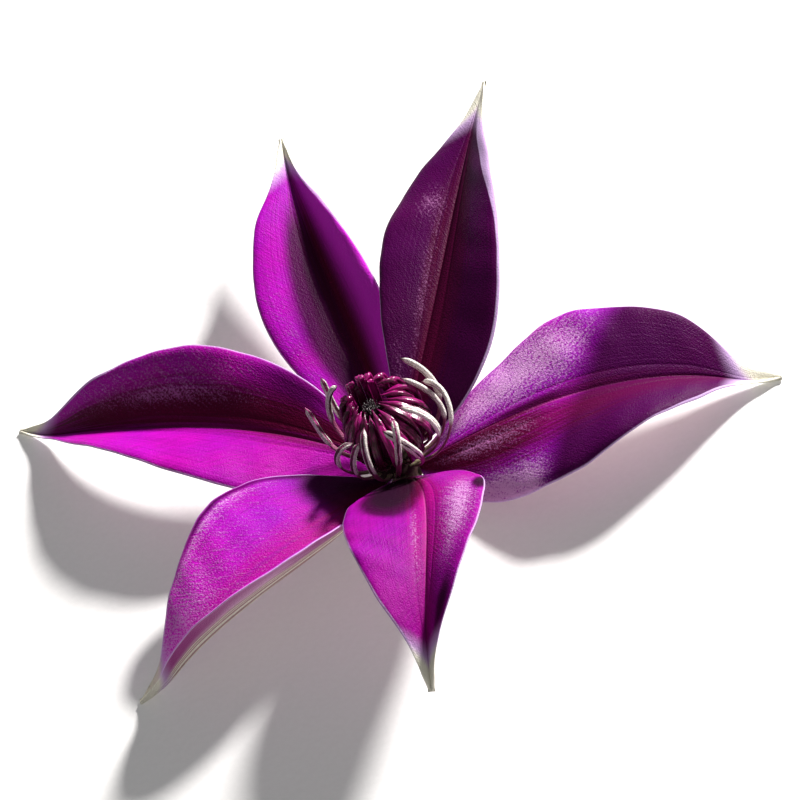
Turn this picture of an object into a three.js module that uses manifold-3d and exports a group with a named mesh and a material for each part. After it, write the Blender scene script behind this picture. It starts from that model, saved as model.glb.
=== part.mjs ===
// A clematis flower, picked and lying face up on a table.
// Millimetres, +Z up. The flower's axis is upright, and +X points to the right as it is seen from the front.

import * as THREE from "three";
import { mergeVertices } from "three/addons/utils/BufferGeometryUtils.js";
import Module from "manifold-3d";

const wasm = await Module();
wasm.setup();

// Heights are from the ring where the tepals join the receptacle, and the table lies below it.
const TABLE = -5.0;
const TABLE_SIZE = { side: 400, depth: 20 };
const DIP = 0.25; // how far a resting tepal would reach below the table before its flat spot is cut

// What every tepal shares
const THICKNESS = 0.7;
const RIB = 0.5; // how much thicker the midrib is at the claw, on the underside
const RING = 4.6; // distance from the axis to the end of a claw
const CLAW = 1.7; // half the width of a claw
const AWN = 0.6; // half the width of the fine point
const FULLNESS = 1.12; // how soon the outline leaves the claw and the tip
const ROWS = 26; // steps from claw to tip
const STRIPS = [0, 0.32, 0.6, 0.82, 1]; // from the midrib to a margin
const WAVES = 3.4; // waves along a margin
const TAPER = [0.74, 0.94]; // the part of its length where the outline draws in before the tip
const FLICK = [0.85, 1]; // the part where the midrib turns up again
const CROOK = [0, 0.35]; // the part where the halves come to their full curl

// Each tepal. Angles are in degrees, and three values hold at the claw, half way and the tip.
// lift: height of the claw above or below the ring, so that neighbours pass over each other
// heading: compass direction of the midrib, anticlockwise seen from above
// rise: slope of the midrib, and flick: how far its last part turns up again
// roll: turn about the midrib
// left and right halves: width, belly (below 1 is widest near the claw), fold up from the midrib,
// curl back down at the margin
// taper: how much the outline draws in before the tip
// wave: height of the waves of the margins, and the angle at which they begin
const TEPALS = [
  {
    name: "tepal_1",
    length: 85,
    lift: 0.4,
    heading: [140, 157, 135],
    rise: [19, -9, -24],
    flick: 22,
    roll: [0, 14, -9],
    left: { width: 16.5, belly: 0.68, fold: [-20, 31, 50], curl: 14 },
    right: { width: 16.6, belly: 0.9, fold: [22, 54, 50], curl: 8 },
    taper: 0.28,
    wave: [0.25, 40],
    rests: true,
  },
  {
    name: "tepal_2",
    length: 85.5,
    lift: -0.9,
    heading: [86, 99, 81],
    rise: [12, 2, 14],
    flick: 0,
    roll: [0, -22, -5],
    left: { width: 15.5, belly: 0.96, fold: [15, 24, 35], curl: 17 },
    right: { width: 12, belly: 0.8, fold: [30, 36, 40], curl: 11 },
    taper: 0.37,
    wave: [0.25, 200],
    rests: false,
  },
  {
    name: "tepal_3",
    length: 85.5,
    lift: 0.8,
    heading: [51, 66, 58],
    rise: [30, 0, 11],
    flick: 0,
    roll: [0, -15, -26],
    left: { width: 14, belly: 1.13, fold: [18, 38, 5], curl: 22 },
    right: { width: 16, belly: 0.68, fold: [-7, 34, 19], curl: 21 },
    taper: 0.38,
    wave: [0.25, 120],
    rests: false,
  },
  {
    name: "tepal_4",
    length: 77,
    lift: -1,
    heading: [-11, 0, -13],
    rise: [23, 4, -45],
    flick: 40,
    roll: [0, 5, -1],
    left: { width: 18, belly: 1, fold: [-7, 25, 40], curl: 18 },
    right: { width: 18.5, belly: 0.68, fold: [-25, 22, 40], curl: 24 },
    taper: 0.38,
    wave: [0.6, 260],
    rests: true,
  },
  {
    name: "tepal_5",
    length: 70,
    lift: 0.1,
    heading: [-73, -114, -109],
    rise: [41, 28, -45],
    flick: 0,
    roll: [0, 14, 1],
    left: { width: 12.5, belly: 0.84, fold: [-25, 24, 50], curl: 20 },
    right: { width: 16, belly: 0.83, fold: [17, 14, 50], curl: 13 },
    taper: 0.35,
    wave: [0.3, 300],
    rests: false,
  },
  {
    name: "tepal_6",
    length: 70.8,
    lift: -0.1,
    heading: [233, 197, 181],
    rise: [17, 20, -55],
    flick: 40,
    roll: [0, 1, 3],
    left: { width: 12.5, belly: 1.1, fold: [42, 62, 72], curl: 0 },
    right: { width: 24, belly: 0.81, fold: [23, 8, 21], curl: 13 },
    taper: 0.26,
    wave: [0.2, 0],
    rests: true,
  },
];

// The receptacle: a low cone with a shoulder for each ring of stamens, on the cut end of the flower stalk
const STALK = { radius: 1.5, end: TABLE + 0.8, neck: 1.575, neckHeight: -3.2 };
const CONE = { radius: 4.3, foot: 2.58, footHeight: -2.5, underside: -1.9, side: 1, bevel: 0.3, top: 3.6 };
const OUTER_SHOULDER = { radius: 3.3, height: 1.3 };
const INNER_SHOULDER = { radius: 1.6, height: 2.9 };
const ROUND_SIDES = 24;

// Where the stamens and the pistils lean together, over and a little behind the middle
const APEX = new THREE.Vector3(-0.5, 2.4, 16.4);

// A stamen is a flat filament and, past the joint, a wider anther. Half widths and half depths.
// joint: the part of its length where it widens into the anther, and narrow and thin: the parts where its
// width and its depth shrink to the point. rise: how far above its collar it first bends
const STAMEN = {
  steps: 8,
  sides: 4,
  joint: [0.4, 0.52],
  narrow: [0.82, 1],
  thin: [0.85, 1],
  filament: 0.55,
  anther: 0.85,
  depth: 0.5,
  point: 0.25,
  rise: 3,
};

// Outer stamens, with opened anthers: compass direction of the root and of the tip, distance from the axis
// half way, height of the bend, and the tip's distance from the axis and height
const OUTER_COLLAR = { inner: 3.6, outer: 5, low: 1.7, high: 2.7, root: 4.3 };
const OPENED = [
  [6, 50, 14.5, 13.8, 13.1, 17.5],
  [-40, 32, 15.4, 19, 12.6, 12.5],
  [-17, 39, 13.2, 11.5, 9, 16.7],
  [-31, -20, 11.7, 15.6, 5, 16.8],
  [-51, -89, 11, 15.8, 5.5, 16.2],
  [-94, -62, 10.3, 18, 6, 18],
  [-111, -130, 10.3, 15.5, 4.7, 16.9],
  [-161, -148, 11.2, 17.2, 7.2, 14.2],
  [145, 117, 11.9, 16.8, 11.1, 16.7],
  [127, 121, 11.9, 12.3, 14.6, 17.9],
  [163, 141, 11.9, 9.4, 16.2, 14],
  [-140, -134, 10.4, 14, 7.4, 15.2],
];

// Inner stamens, still closed, in two rings that bend in over the pistils. reach: distance from the axis
// half way, bend: height of the bend, and the tips' distance from the apex and height above it
const INNER_COLLAR = { inner: 1.9, outer: 3.4, low: 3.2, high: 4.2, root: 2.8 };
const INNER_RINGS = [
  { count: 20, start: 4, reach: 8.7, bend: 14.4, tipRadius: 2.8, tipHeight: -0.8 },
  { count: 15, start: 13, reach: 7, bend: 15, tipRadius: 2.1, tipHeight: -0.2 },
];
const BULGE = 1.6; // how much further they reach on the right than in the middle
const BACK = { radius: 3.8, height: 3.8, bend: 3.4 }; // those at the back stand taller and bend in less
const UNEVEN = { turn: 4, reach: 0.3, height: 0.8 };

// Pistils: a slim core, whose lean is its share of the apex's lean at the second bend and at the top,
// and a tuft of fine styles out of it. Three distances of a style from the middle of the core, in mm
const CORE = { base: 1.4, neck: 0.45, root: 3.9, top: 13.5, bends: [4, 3], lean: [0.7, 0.9] };
const CORE_ROD = { steps: 6, sides: 8 };
const STYLES = { count: 14, steps: 5, sides: 4, thickness: 0.34, end: 0.24, distances: [0.77, 0.68, 0.54] };
const STYLE_PLACES = [0.1, 0.5, 1]; // how far up the core those distances are taken
const STYLE_TIPS = { spread: 0.72, unevenSpread: 0.48, unevenTurn: 0.2, unevenHeight: 0.8 };

const PURPLE = 0x5b1276;
const MAGENTA = 0x8c1a63;
const POLLEN = 0xe9dfe0;
const DARK = 0x1d0a18;
const GREEN = 0x7b7a45;

const radians = THREE.MathUtils.degToRad;

// The same uneven numbers at every run
function unevenNumbers(seed) {
  let state = seed;
  return function () {
    state = (state + 0x6d2b79f5) | 0;
    let mixed = Math.imul(state ^ (state >>> 15), 1 | state);
    mixed = (mixed + Math.imul(mixed ^ (mixed >>> 7), 61 | mixed)) ^ mixed;
    return ((mixed ^ (mixed >>> 14)) >>> 0) / 2 ** 31 - 1;
  };
}

// Closed solids from a geometry or from points and faces
function solidFrom(geometry) {
  const bare = geometry.clone();
  bare.deleteAttribute("normal");
  bare.deleteAttribute("uv");
  const merged = mergeVertices(bare, 1e-4);
  return new wasm.Manifold(
    new wasm.Mesh({
      numProp: 3,
      vertProperties: merged.attributes.position.array,
      triVerts: new Uint32Array(merged.index.array),
    }),
  );
}

function solidOf(points, faces) {
  const geometry = new THREE.BufferGeometry().setFromPoints(points);
  geometry.setIndex(faces.flat());
  return solidFrom(geometry);
}

function meshOf(name, solid, colour, roughness) {
  const { vertProperties, triVerts } = solid.getMesh();
  const geometry = new THREE.BufferGeometry();
  geometry.setAttribute("position", new THREE.BufferAttribute(vertProperties, 3));
  geometry.setIndex(new THREE.BufferAttribute(triVerts, 1));
  geometry.computeVertexNormals();
  const material = new THREE.MeshStandardMaterial({ color: colour, roughness, metalness: 0 });
  const mesh = new THREE.Mesh(geometry, material);
  mesh.name = name;
  return mesh;
}

function turned(profile) {
  const points = profile.map(([radius, height]) => new THREE.Vector2(radius, height));
  const geometry = new THREE.LatheGeometry(points, ROUND_SIDES);
  geometry.rotateX(Math.PI / 2);
  return solidFrom(geometry);
}

// A value that goes from a over b to c, as s goes from 0 to 1
function through([a, b, c], s) {
  return a * (1 - s) ** 2 + 2 * b * s * (1 - s) + c * s ** 2;
}

function halfWidth(half, taper, s) {
  const fullness = Math.sin(Math.PI * s ** half.belly) ** FULLNESS;
  const drawnIn = 1 - taper * THREE.MathUtils.smoothstep(s, ...TAPER);
  return half.width * fullness * drawnIn + CLAW * (1 - s) ** 4 + AWN * s ** 4;
}

// The midrib: its points, and at each the direction across the tepal and the direction up out of it
function midrib(tepal) {
  const rows = [];
  const start = radians(tepal.heading[0]);
  const point = new THREE.Vector3(RING * Math.cos(start), RING * Math.sin(start), tepal.lift);
  let before = null;
  for (let row = 0; row <= ROWS; row++) {
    const s = row / ROWS;
    const heading = radians(through(tepal.heading, s));
    const flick = tepal.flick * THREE.MathUtils.smoothstep(s, ...FLICK);
    const rise = radians(through(tepal.rise, s) + flick);
    const along = new THREE.Vector3(
      Math.cos(rise) * Math.cos(heading),
      Math.cos(rise) * Math.sin(heading),
      Math.sin(rise),
    );
    if (before) {
      const step = before.clone().add(along).multiplyScalar((0.5 * tepal.length) / ROWS);
      point.add(step);
    }
    before = along;
    const level = new THREE.Vector3(-Math.sin(heading), Math.cos(heading), 0);
    const roll = radians(through(tepal.roll, s));
    const across = level.clone().applyAxisAngle(along, roll);
    const up = along.clone().cross(across).normalize();
    rows.push({ s, point: point.clone(), across, up });
  }
  return rows;
}

// Points of the upper face, row by row, from the right margin over the midrib to the left margin
function upperFace(tepal) {
  return midrib(tepal).map(({ s, point, across, up }) => {
    const crook = THREE.MathUtils.smoothstep(s, ...CROOK);
    const [waveHeight, waveStart] = tepal.wave;
    const waveTurn = 2 * Math.PI * WAVES * s + radians(waveStart);
    const halves = [-1, 1].map((side) => {
      const half = side < 0 ? tepal.right : tepal.left;
      const wave = waveHeight * Math.sin(Math.PI * s) * side * Math.sin(waveTurn);
      const width = halfWidth(half, tepal.taper, s);
      const fold = radians(through(half.fold, s));
      const place = point.clone();
      const points = [place.clone()];
      for (let k = 1; k < STRIPS.length; k++) {
        const middle = (STRIPS[k] + STRIPS[k - 1]) / 2;
        const slope = fold - radians(half.curl) * middle ** 2 * crook;
        const reach = width * (STRIPS[k] - STRIPS[k - 1]);
        place.addScaledVector(across, side * Math.cos(slope) * reach);
        place.addScaledVector(up, Math.sin(slope) * reach);
        points.push(place.clone().addScaledVector(up, wave * STRIPS[k] ** 3));
      }
      return points;
    });
    return [...halves[0].reverse(), ...halves[1].slice(1)];
  });
}

function lowerFace(upper) {
  const last = upper.length - 1;
  const width = upper[0].length - 1;
  const ribAt = (i, j) => (j === width / 2 ? RIB * (1 - i / last) * Math.min(1, (8 * i) / last) : 0);
  return upper.map((row, i) =>
    row.map((point, j) => {
      const along = upper[Math.min(i + 1, last)][j].clone().sub(upper[Math.max(i - 1, 0)][j]);
      const across = row[Math.min(j + 1, width)].clone().sub(row[Math.max(j - 1, 0)]);
      const up = along.cross(across).normalize();
      return point.clone().addScaledVector(up, -THICKNESS - ribAt(i, j));
    }),
  );
}

// Lets a resting tepal down, more and more towards its tip, until it dips just below the table
function letDown(upper, lower) {
  const lowest = Math.min(...lower.flat().map((point) => point.z));
  const drop = lowest - (TABLE - DIP);
  for (const face of [upper, lower]) {
    face.forEach((row, i) => {
      const s = i / ROWS;
      for (const point of row) point.z -= drop * s ** 3;
    });
  }
}

function blade(upper, lower) {
  const count = upper[0].length;
  const points = [...upper.flat(), ...lower.flat()];
  const offset = upper.length * count;
  const at = (i, j) => i * count + j;
  const faces = [];
  for (let i = 0; i < upper.length - 1; i++) {
    for (let j = 0; j < count - 1; j++) {
      const [a, b, c, d] = [at(i, j), at(i + 1, j), at(i + 1, j + 1), at(i, j + 1)];
      faces.push([a, b, c], [a, c, d]);
      faces.push([a + offset, c + offset, b + offset], [a + offset, d + offset, c + offset]);
    }
    for (const j of [0, count - 1]) {
      const [a, b] = j === 0 ? [at(i, j), at(i + 1, j)] : [at(i + 1, j), at(i, j)];
      faces.push([a, a + offset, b + offset], [a, b + offset, b]);
    }
  }
  for (let j = 0; j < count - 1; j++) {
    const [a, b] = [at(0, j), at(0, j + 1)];
    faces.push([a, b, b + offset], [a, b + offset, a + offset]);
    const [c, d] = [at(upper.length - 1, j + 1), at(upper.length - 1, j)];
    faces.push([c, d, d + offset], [c, d + offset, c + offset]);
  }
  return solidOf(points, faces);
}

function tepalSolid(tepal) {
  const upper = upperFace(tepal);
  const lower = lowerFace(upper);
  if (!tepal.rests) return blade(upper, lower);
  letDown(upper, lower);
  const below = new THREE.BoxGeometry(TABLE_SIZE.side, TABLE_SIZE.side, TABLE_SIZE.depth);
  below.translate(0, 0, TABLE - TABLE_SIZE.depth / 2);
  return blade(upper, lower).subtract(solidFrom(below));
}

// A rod along a curve, closed at both ends. Its width lies across the direction of its root.
function rod(curve, direction, steps, sides, halfWidthAt, halfDepthAt) {
  const points = [];
  const faces = [];
  const across = new THREE.Vector3(-Math.sin(direction), Math.cos(direction), 0);
  for (let i = 0; i <= steps; i++) {
    const t = i / steps;
    const along = curve.getTangent(t);
    across.addScaledVector(along, -across.dot(along)).normalize();
    const out = across.clone().cross(along);
    for (let k = 0; k < sides; k++) {
      const turn = (2 * Math.PI * (k + 0.5)) / sides;
      const point = curve.getPoint(t);
      point.addScaledVector(across, halfWidthAt(t) * Math.cos(turn));
      point.addScaledVector(out, halfDepthAt(t) * Math.sin(turn));
      points.push(point);
    }
  }
  const near = points.push(curve.getPoint(0)) - 1;
  const far = points.push(curve.getPoint(1)) - 1;
  for (let k = 0; k < sides; k++) {
    const next = (k + 1) % sides;
    faces.push([near, next, k]);
    faces.push([far, steps * sides + k, steps * sides + next]);
    for (let i = 0; i < steps; i++) {
      const [a, b] = [i * sides + k, i * sides + next];
      faces.push([a, b, b + sides], [a, b + sides, a + sides]);
    }
  }
  const solid = solidOf(points, faces);
  if (solid.volume() > 0) return solid;
  return solidOf(points, faces.map(([a, b, c]) => [a, c, b]));
}

// The curve of a stamen from its root on a collar, out to its reach and back to its tip
function stamenCurve(collar, direction, reach, bend, turn, tip) {
  const polar = (angle, radius, height) =>
    new THREE.Vector3(radius * Math.cos(angle), radius * Math.sin(angle), height);
  const tipRadius = Math.hypot(tip.x, tip.y);
  const pull = (8 * reach - collar.root - tipRadius) / 6;
  return new THREE.CubicBezierCurve3(
    polar(direction, collar.root, (collar.low + collar.high) / 2),
    polar(direction, pull, collar.high + STAMEN.rise),
    polar(direction + turn / 2, pull, bend),
    tip,
  );
}

function stamen(curve, direction) {
  const { steps, sides, joint, narrow, thin, filament, anther, depth, point } = STAMEN;
  const widthAt = (t) => {
    const swell = THREE.MathUtils.smoothstep(t, ...joint);
    const taper = THREE.MathUtils.smoothstep(t, ...narrow);
    return THREE.MathUtils.lerp(filament + (anther - filament) * swell, point, taper);
  };
  const depthAt = (t) => THREE.MathUtils.lerp(depth, point, THREE.MathUtils.smoothstep(t, ...thin));
  return rod(curve, direction, steps, sides, widthAt, depthAt);
}

function collarSolid({ inner, outer, low, high }) {
  return turned([
    [inner, low],
    [outer, low],
    [outer, high],
    [inner, high],
    [inner, low],
  ]);
}

function outerStamens() {
  let whole = collarSolid(OUTER_COLLAR);
  for (const [root, tipTurn, reach, bend, tipRadius, tipHeight] of OPENED) {
    const direction = radians(root);
    const towards = radians(tipTurn);
    const tip = new THREE.Vector3(tipRadius * Math.cos(towards), tipRadius * Math.sin(towards), tipHeight);
    const curve = stamenCurve(OUTER_COLLAR, direction, reach, bend, towards - direction, tip);
    whole = whole.add(stamen(curve, direction));
  }
  return whole;
}

function innerStamens() {
  let whole = collarSolid(INNER_COLLAR);
  const uneven = unevenNumbers(7);
  for (const ring of INNER_RINGS) {
    for (let i = 0; i < ring.count; i++) {
      const direction = radians(ring.start + (360 * i) / ring.count + UNEVEN.turn * uneven());
      const reach = ring.reach + BULGE * Math.cos(direction) + UNEVEN.reach * uneven();
      const back = Math.max(0, Math.sin(direction));
      const tipRadius = ring.tipRadius + BACK.radius * back;
      const tip = APEX.clone();
      tip.x += tipRadius * Math.cos(direction);
      tip.y += tipRadius * Math.sin(direction);
      tip.z += ring.tipHeight + BACK.height * back + UNEVEN.height * uneven();
      const bend = ring.bend + BACK.bend * back;
      const curve = stamenCurve(INNER_COLLAR, direction, reach, bend, 0, tip);
      whole = whole.add(stamen(curve, direction));
    }
  }
  return whole;
}

function pistils() {
  const { base, neck, root, top, bends, lean } = CORE;
  const core = new THREE.CubicBezierCurve3(
    new THREE.Vector3(0, 0, root),
    new THREE.Vector3(0, 0, root + bends[0]),
    new THREE.Vector3(APEX.x, APEX.y * lean[0], top - bends[1]),
    new THREE.Vector3(APEX.x, APEX.y * lean[1], top),
  );
  const coreWidth = (t) => THREE.MathUtils.lerp(base, neck, t);
  const styleWidth = (t) => THREE.MathUtils.lerp(STYLES.thickness, STYLES.end, t);
  let whole = rod(core, 0, CORE_ROD.steps, CORE_ROD.sides, coreWidth, coreWidth);
  const uneven = unevenNumbers(11);
  for (let i = 0; i < STYLES.count; i++) {
    const direction = (2 * Math.PI * i) / STYLES.count + STYLE_TIPS.unevenTurn * uneven();
    const outwards = new THREE.Vector3(Math.cos(direction), Math.sin(direction), 0);
    const points = STYLES.distances.map((distance, k) =>
      core.getPoint(STYLE_PLACES[k]).addScaledVector(outwards, distance),
    );
    const tip = APEX.clone();
    tip.addScaledVector(outwards, STYLE_TIPS.spread + STYLE_TIPS.unevenSpread * uneven());
    tip.z += STYLE_TIPS.unevenHeight * uneven();
    const curve = new THREE.CubicBezierCurve3(...points, tip);
    whole = whole.add(rod(curve, direction, STYLES.steps, STYLES.sides, styleWidth, styleWidth));
  }
  return whole;
}

function receptacle() {
  return turned([
    [0, STALK.end],
    [STALK.radius, STALK.end],
    [STALK.neck, STALK.neckHeight],
    [CONE.foot, CONE.footHeight],
    [CONE.radius, CONE.underside],
    [CONE.radius, CONE.side],
    [CONE.radius - CONE.bevel, OUTER_SHOULDER.height],
    [OUTER_SHOULDER.radius, OUTER_SHOULDER.height],
    [OUTER_SHOULDER.radius, INNER_SHOULDER.height],
    [INNER_SHOULDER.radius, INNER_SHOULDER.height],
    [INNER_SHOULDER.radius, CONE.top],
    [0, CONE.top],
  ]);
}

const flower = new THREE.Group();
flower.add(meshOf("receptacle", receptacle(), GREEN, 0.6));
for (const tepal of TEPALS) flower.add(meshOf(tepal.name, tepalSolid(tepal), PURPLE, 0.45));
flower.add(meshOf("stamens_outer", outerStamens(), POLLEN, 0.6));
flower.add(meshOf("stamens_inner", innerStamens(), MAGENTA, 0.35));
flower.add(meshOf("pistils", pistils(), DARK, 0.4));

// The origin is the middle of the flower's box, on the table
const box = new THREE.Box3().setFromObject(flower);
const centre = box.getCenter(new THREE.Vector3());
flower.position.set(-centre.x, -centre.y, -TABLE);

export default flower;
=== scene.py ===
"""The looks of a clematis flower, face up on a table: fine tepals, stamens, pistils and stalk."""
import math

import bpy
import numpy as np
from mathutils import Matrix, Vector


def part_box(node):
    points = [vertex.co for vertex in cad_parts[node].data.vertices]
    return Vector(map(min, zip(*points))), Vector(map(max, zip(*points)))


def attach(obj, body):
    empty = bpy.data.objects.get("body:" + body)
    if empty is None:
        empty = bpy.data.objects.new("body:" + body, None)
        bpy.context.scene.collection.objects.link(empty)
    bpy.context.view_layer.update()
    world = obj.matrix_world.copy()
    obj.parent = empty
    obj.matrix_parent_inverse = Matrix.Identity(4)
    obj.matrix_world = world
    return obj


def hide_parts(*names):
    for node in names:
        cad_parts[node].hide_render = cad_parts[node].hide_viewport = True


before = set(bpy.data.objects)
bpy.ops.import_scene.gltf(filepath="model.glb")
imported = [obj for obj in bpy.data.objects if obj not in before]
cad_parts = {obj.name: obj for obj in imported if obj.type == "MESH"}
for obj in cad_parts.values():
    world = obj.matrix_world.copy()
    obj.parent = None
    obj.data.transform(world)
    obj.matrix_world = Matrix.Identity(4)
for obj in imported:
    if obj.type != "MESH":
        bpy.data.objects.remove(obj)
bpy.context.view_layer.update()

MM = 0.001

# Heights are in millimetres from the ring where the tepals join the receptacle. The table lies below it
TABLE = -5.0
low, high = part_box("receptacle")
RING_CENTRE = Vector(((low.x + high.x) / 2, (low.y + high.y) / 2, -TABLE * MM))

# What every tepal shares, in millimetres unless its line says otherwise
RING = 4.6  # distance from the axis to the end of a claw
AWN = 0.6  # half the width of the fine point
AWN_LOSS = 0.75  # share of that width which the awn's end loses
AWN_END = (0.95, 1)  # shares of the length between which it does
FULLNESS = 1.12  # how soon the outline leaves the claw and the tip
DRAWN_IN = (0.74, 0.94)  # shares of the length between which a tepal is drawn in towards its awn
FLICK = (0.85, 1)  # shares of the length between which the tip flicks up
CROOK = (0, 0.35)  # shares of the length between which the halves begin to curl down
THICKNESS = 0.5
MARGIN_THICKNESS = 0.26
TIP_THICKNESS = 0.62
RIM = 0.45  # how far the rim stands out, as a share of the thickness
MARGIN_CURL = 38  # degrees that the outermost margin turns down
WAVES = 3.4  # waves along a margin
FINE_WAVES = dict(height=0.05, times=3.7)  # smaller ones at the edge, and how many to each wave
PRESSED = 0.08  # how far a tip that rests on the table is pressed flat

# Veins of a blade: the midrib and one more on each half. Places and spreads are shares of a half's width
VEINS = (0.0, 0.17)
GROOVES = (0.14, 0.10)  # depth of the groove on each
GROOVE_SPREAD = 0.022
RIBS = ((0.42, 0.03), (0.26, 0.025))  # height and spread of the rib under each
RIB_LOSS = 0.8  # share of its height that a rib loses from claw to tip
PANEL = dict(height=0.08, spread=0.05)  # raised between the veins
PUCKERS = dict(count=6, height=0.035, turns=(3, 11), lean=(1, 4))  # shallow waves beside the veins

# Where a blade has its points: rows from claw to tip, and columns from the midrib to a margin
ROWS = 150
EVEN_COLUMNS = 18
COLUMNS_AT_VEIN = (-0.035, -0.022, -0.011, 0, 0.011, 0.022, 0.035)
COLUMNS_AT_MARGIN = (0.975, 0.99)
COLUMN_GAP = 0.02  # no even column comes nearer than this to one at a vein

# Each tepal, with the values of the solid that it stands for. Angles are in degrees, and three values
# hold at the claw, half way and the tip. Halves: width, belly, folds up from the midrib, curl down.
# Wave: its height and where it starts.
# Looks: tone from violet to magenta, depth of the colour on the claw's side and on the tip's (painted shade
# of cast shadows on tepals 3 and 4, a deeper tone on the others), dusk (where the tip's side begins on the
# midrib, how much further out on the left margin, and half the blend; on tepal 4 the edge of the painted
# shadow), how far the dark throat reaches up the bar (partly a darker throat, partly painted shade near the
# stamens and in the folds), how far the bar lies beside the midrib, blush towards the tip (on tepal 6
# partly painted light on its turned-down outer part), painted light shining through the right half, where
# the awn begins, and the width of the right margin's pale lip (partly a painted highlight where the turned
# rim caught the light).
# Patches of painted sheen on the velvet and of painted shade: share across from the midrib, spread, share
# along, spread, and how much. Where the painted shade adds up to more than 1 it turns to near-black ink.
EVEN_DUSK = (0.45, 0, 0.14)  # where the two depths hardly differ
TEPALS = {
    "tepal_1": dict(
        length=85, lift=0.4, claw=1.7, heading=(140, 157, 135), rise=(19, -9, -24), flick=22,
        roll=(0, 14, -9), left=(16.5, 0.68, (-20, 31, 50), 14), right=(16.6, 0.9, (22, 54, 50), 8),
        taper=0.28, wave=(0.25, 40), rests=True,
        tone=0.75, depth=(0.14, 0.1), dusk=EVEN_DUSK, throat=0.98, bar=-0.26,
        blush_and_light=0.25, painted_backlight=0, awn=0.945, lip=0.01,
        painted_sheen=(
            (0.72, 0.4, 0.7, 0.24, 0.12),
            (-0.7, 0.5, 0.6, 0.4, 0.32),
            (-0.4, 0.12, 0.52, 0.2, 0.3),
        ),
        painted_shade=((-0.75, 0.45, 0.22, 0.14, 0.7),),
    ),
    "tepal_2": dict(
        length=85.5, lift=-0.9, claw=1.7, heading=(86, 99, 81), rise=(12, 2, 14), flick=0,
        roll=(0, -22, -5), left=(15.5, 0.96, (15, 24, 35), 17), right=(12, 0.8, (30, 36, 40), 11),
        taper=0.37, wave=(0.25, 200), rests=False,
        tone=0.5, depth=(0.12, 0.05), dusk=EVEN_DUSK, throat=0.9, bar=-0.2,
        blush_and_light=0.1, painted_backlight=0.95, awn=0.93, lip=0.012,
        painted_sheen=((0.72, 0.4, 0.4, 0.3, 0.2),),
        painted_shade=((0.28, 0.37, 0.3, 0.26, 1.1), (0.18, 0.3, 0.64, 0.2, 0.85)),
    ),
    "tepal_3": dict(
        length=85.5, lift=0.8, claw=1.7, heading=(51, 66, 58), rise=(30, 0, 11), flick=0,
        roll=(0, -15, -26), left=(14, 1.13, (18, 38, 5), 22), right=(16, 0.68, (-7, 34, 19), 21),
        taper=0.38, wave=(0.25, 120), rests=False,
        tone=0.3, depth=(0.97, 0.93), dusk=EVEN_DUSK, throat=0.85, bar=-0.08,
        blush_and_light=0, painted_backlight=0, awn=0.905, lip=0.042,
        painted_sheen=(
            (0.22, 0.15, 0.4, 0.26, 0.32),
            (0.42, 0.26, 0.64, 0.06, 0.38),
            (0.7, 0.3, 0.16, 0.12, 0.3),
        ),
        painted_shade=(),
    ),
    "tepal_4": dict(
        length=77, lift=-1, claw=2.5, heading=(-11, 0, -13), rise=(23, 4, -45), flick=40,
        roll=(0, 5, -1), left=(18, 1, (-7, 25, 40), 18), right=(18.5, 0.68, (-25, 22, 40), 24),
        taper=0.38, wave=(0.6, 260), rests=True,
        tone=0.1, depth=(0.1, 0.93), dusk=(0.45, 0.14, 0.05), throat=0.48, bar=-0.22,
        blush_and_light=0, painted_backlight=0, awn=0.905, lip=0.01,
        painted_sheen=(
            (0.6, 0.5, 0.3, 0.36, 0.7),
            (-0.95, 0.38, 0.22, 0.26, 0.85),
            (-0.2, 0.14, 0.18, 0.16, 0.5),
        ),
        painted_shade=((0.06, 0.045, 0.33, 0.14, 0.95),),
    ),
    "tepal_5": dict(
        length=70, lift=0.1, claw=2.5, heading=(-73, -114, -109), rise=(41, 28, -45), flick=0,
        roll=(0, 14, 1), left=(12.5, 0.84, (-25, 24, 50), 20), right=(16, 0.83, (17, 14, 50), 13),
        taper=0.35, wave=(0.3, 300), rests=False,
        tone=0.75, depth=(0.3, 0.35), dusk=EVEN_DUSK, throat=0.15, bar=0.05,
        blush_and_light=0, painted_backlight=0, awn=0.92, lip=0.008,
        painted_sheen=((0.6, 0.34, 0.47, 0.22, 0.66), (-0.14, 0.07, 0.55, 0.22, 0.42)),
        painted_shade=(
            (0.93, 0.11, 0.38, 0.045, 2.0),
            (0.72, 0.26, 0.78, 0.1, 0.9),
            (-0.44, 0.3, 0.29, 0.12, 2.6),
            (-0.36, 0.37, 0.12, 0.13, 3.0),
        ),
    ),
    "tepal_6": dict(
        length=70.8, lift=-0.1, claw=1.7, heading=(233, 197, 181), rise=(17, 20, -55), flick=40,
        roll=(0, 1, 3), left=(12.5, 1.1, (42, 62, 72), 0), right=(24, 0.81, (23, 8, 21), 13),
        taper=0.26, wave=(0.2, 0), rests=True,
        tone=0.15, depth=(0, 0), dusk=EVEN_DUSK, throat=0.12, bar=-0.06,
        blush_and_light=1, painted_backlight=0, awn=0.92, lip=0.01,
        painted_sheen=(
            (-0.6, 0.9, 0.6, 0.45, 0.24),
            (-0.3, 0.8, 0.85, 0.2, 0.4),
            (-0.88, 0.07, 0.45, 0.3, 0.3),
        ),
        painted_shade=((-0.94, 0.05, 0.45, 0.28, 0.85), (-0.4, 0.8, 0.08, 0.15, 1.2)),
    ),
}
LIP = dict(growth=12, span=(0.45, 0.95), power=1.5)  # it grows by so many times its width towards the tip
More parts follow.
